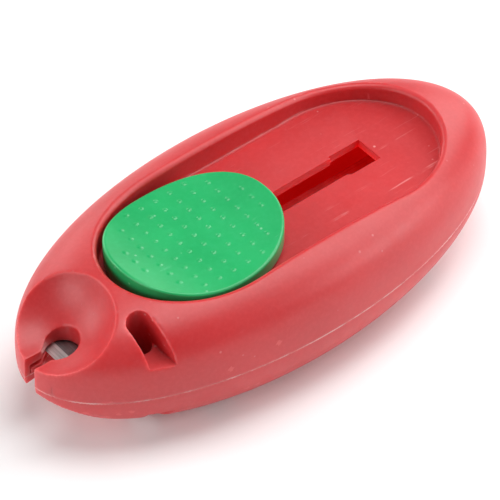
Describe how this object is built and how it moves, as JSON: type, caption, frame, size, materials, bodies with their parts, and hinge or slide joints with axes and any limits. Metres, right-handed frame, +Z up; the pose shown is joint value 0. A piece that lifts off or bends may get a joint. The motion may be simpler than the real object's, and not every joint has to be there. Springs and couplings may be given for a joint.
{
  "type": "utility knife",
  "caption": "Oval pocket utility knife with a two-shell plastic casing, sliding thumb button and retractable blade, a string notch with a fixed blade, and a lanyard eye.",
  "frame": {"origin": "middle of the flat underside, under the middle of the casing", "axes": "+X along the casing towards the mouth of the sliding blade, so the string notch is at -X; +Z up, through the thumb button; the lanyard eye is on the -Y side"},
  "size_m": [0.0849, 0.04, 0.0236],
  "materials": {
    "shell_red": "satin moulded",
    "button_green": "satin moulded",
    "inner_plastic": "natural moulded",
    "blade_steel": "ground",
    "spring_steel": "drawn wire",
    "screw_steel": "zinc plated"
  },
  "bodies": {
    "casing": {"top_shell": "shell_red", "bottom_shell": "shell_red", "string_blade": "blade_steel", "spring_pin": "screw_steel", "case_screws": "screw_steel", "return_spring": "spring_steel"},
    "slider": {"thumb_button": "button_green", "blade_carriage": "inner_plastic", "blade_clamp": "inner_plastic", "clamp_screws": "screw_steel", "cutting_blade": "blade_steel"}
  },
  "joints": [
    {"name": "blade_slide", "type": "slide", "parent": "casing", "child": "slider", "axis": [1, 0, 0], "range_m": [0, 0.0295], "stiffness_N_per_m": 60, "springref_m": -0.017, "deforming": ["return_spring"]}
  ]
}
